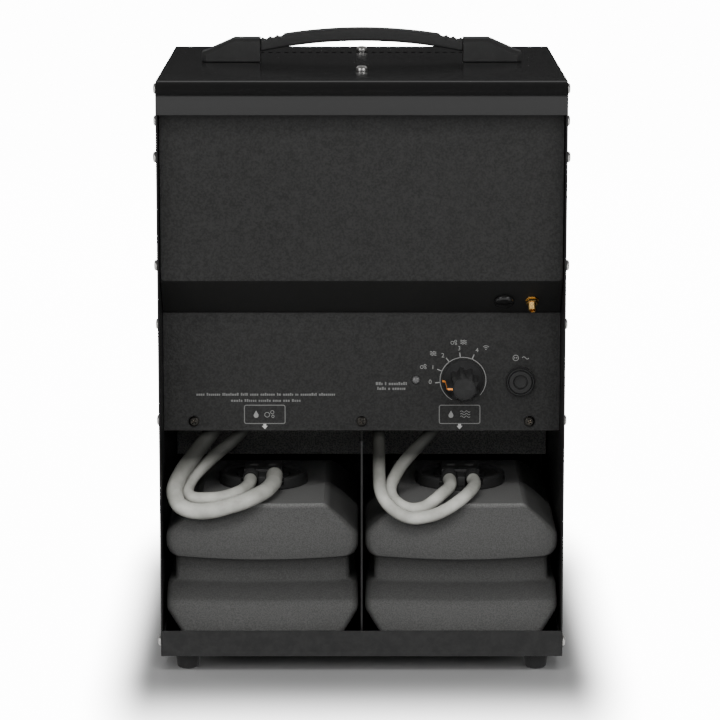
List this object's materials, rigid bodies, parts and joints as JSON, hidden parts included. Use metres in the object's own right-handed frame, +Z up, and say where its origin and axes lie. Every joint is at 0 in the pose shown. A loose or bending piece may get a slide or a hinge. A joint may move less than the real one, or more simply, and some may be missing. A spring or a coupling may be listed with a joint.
{
  "type": "bubble and haze fog machine",
  "caption": "Upright sheet-metal effects machine with an open bay of fluid bottles, hoses, a control panel and a carrying handle.",
  "frame": {"origin": "centre of the footprint, on the surface that the feet stand on", "axes": "+Z up; -Y out of the control side, +Y out of the outlets; +X to the right of someone facing the control side"},
  "size_m": [0.3046, 0.295, 0.469],
  "materials": {
    "satin_black_steel": "smooth satin powder coat on folded sheet steel",
    "textured_black_steel": "fine-textured powder coat on sheet steel",
    "black_rubber": "soft matt rubber",
    "moulded_black": "fine moulded texture",
    "gloss_black_plastic": "smooth moulded",
    "bare_steel": "zinc-plated",
    "screw_chrome": "bright plated",
    "gold_plate": "gold-plated",
    "bottle_plastic": "blow-moulded, very fine grain",
    "hose_silicone": "smooth and cloudy",
    "led_lens": "frosted lens",
    "pale_plastic": "smooth moulded",
    "cast_aluminium": "machined",
    "circuit_board": "lacquered"
  },
  "bodies": {
    "root": {"left_side_panel": "satin_black_steel", "right_side_panel": "satin_black_steel", "top_cover": "satin_black_steel", "base_tray": "satin_black_steel", "rear_upper_panel": "textured_black_steel", "connector_panel": "satin_black_steel", "control_panel": "textured_black_steel", "equipment_deck": "satin_black_steel", "wet_bay_bulkhead": "textured_black_steel", "front_panel": "textured_black_steel", "bay_divider": "satin_black_steel", "outlet_ring": "moulded_black", "rear_foot_left": "black_rubber", "front_foot_left": "black_rubber", "rear_foot_right": "black_rubber", "front_foot_right": "black_rubber", "handle_grip": "black_rubber", "handle_mount_left": "moulded_black", "handle_mount_right": "moulded_black", "rotary_switch": "moulded_black", "status_led": "led_lens", "cable_gland": "moulded_black", "fuse_holder": "moulded_black", "antenna_socket": "gold_plate", "side_screw_left": "screw_chrome", "side_screw_right": "screw_chrome", "panel_screw_left": "screw_chrome", "panel_screw_middle": "screw_chrome", "panel_screw_right": "screw_chrome", "bubble_return_hose": "hose_silicone", "bubble_feed_hose": "hose_silicone", "haze_feed_hose": "hose_silicone", "haze_return_hose": "hose_silicone", "bubble_line_bulkhead": "moulded_black", "haze_line_bulkhead": "moulded_black", "wheel_motor": "bare_steel", "fluid_trough": "moulded_black", "fan_frame": "moulded_black", "bubble_pump": "moulded_black", "haze_pump": "bare_steel", "heater_block": "cast_aluminium", "heater_jacket": "bare_steel", "haze_nozzle": "cast_aluminium", "power_supply": "bare_steel", "control_board": "circuit_board", "wireless_receiver": "circuit_board"},
    "mode_knob": {"mode_knob": "moulded_black", "switch_shaft": "bare_steel"},
    "fuse_cap": {"fuse_cap": "gloss_black_plastic"},
    "left_bottle": {"left_bottle": "bottle_plastic", "left_cap": "moulded_black", "left_hose_manifold": "moulded_black", "left_pickup_tube": "pale_plastic"},
    "right_bottle": {"right_bottle": "bottle_plastic", "right_cap": "moulded_black", "right_hose_manifold": "moulded_black", "right_pickup_tube": "pale_plastic"},
    "bubble_wheel": {"bubble_wheel": "pale_plastic", "wheel_shaft": "screw_chrome"},
    "fan_rotor": {"fan_rotor": "moulded_black"}
  },
  "joints": [
    {"name": "mode_knob_turn", "type": "hinge", "parent": "root", "child": "mode_knob", "pos_m": [0.0759, -0.1045, 0.2156], "axis": [0, 1, 0], "range_deg": [0, 120]},
    {"name": "fuse_cap_turn", "type": "hinge", "parent": "root", "child": "fuse_cap", "pos_m": [0.1058, -0.1146, 0.27814], "axis": [0, -0.6894, -0.7244], "range_deg": [0, 60]},
    {"name": "left_bottle_lift", "type": "slide", "parent": "root", "child": "left_bottle", "axis": [0, -0.8, 0.6], "range_m": [0, 0.05], "deforming": ["bubble_return_hose", "bubble_feed_hose"]},
    {"name": "right_bottle_lift", "type": "slide", "parent": "root", "child": "right_bottle", "axis": [0, -0.8, 0.6], "range_m": [0, 0.05], "deforming": ["haze_feed_hose", "haze_return_hose"]},
    {"name": "wheel_spin", "type": "hinge", "parent": "root", "child": "bubble_wheel", "pos_m": [0, 0.1105, 0.29], "axis": [0, 1, 0], "continuous": true},
    {"name": "fan_spin", "type": "hinge", "parent": "root", "child": "fan_rotor", "pos_m": [0, 0.0405, 0.354], "axis": [0, 1, 0], "continuous": true}
  ]
}
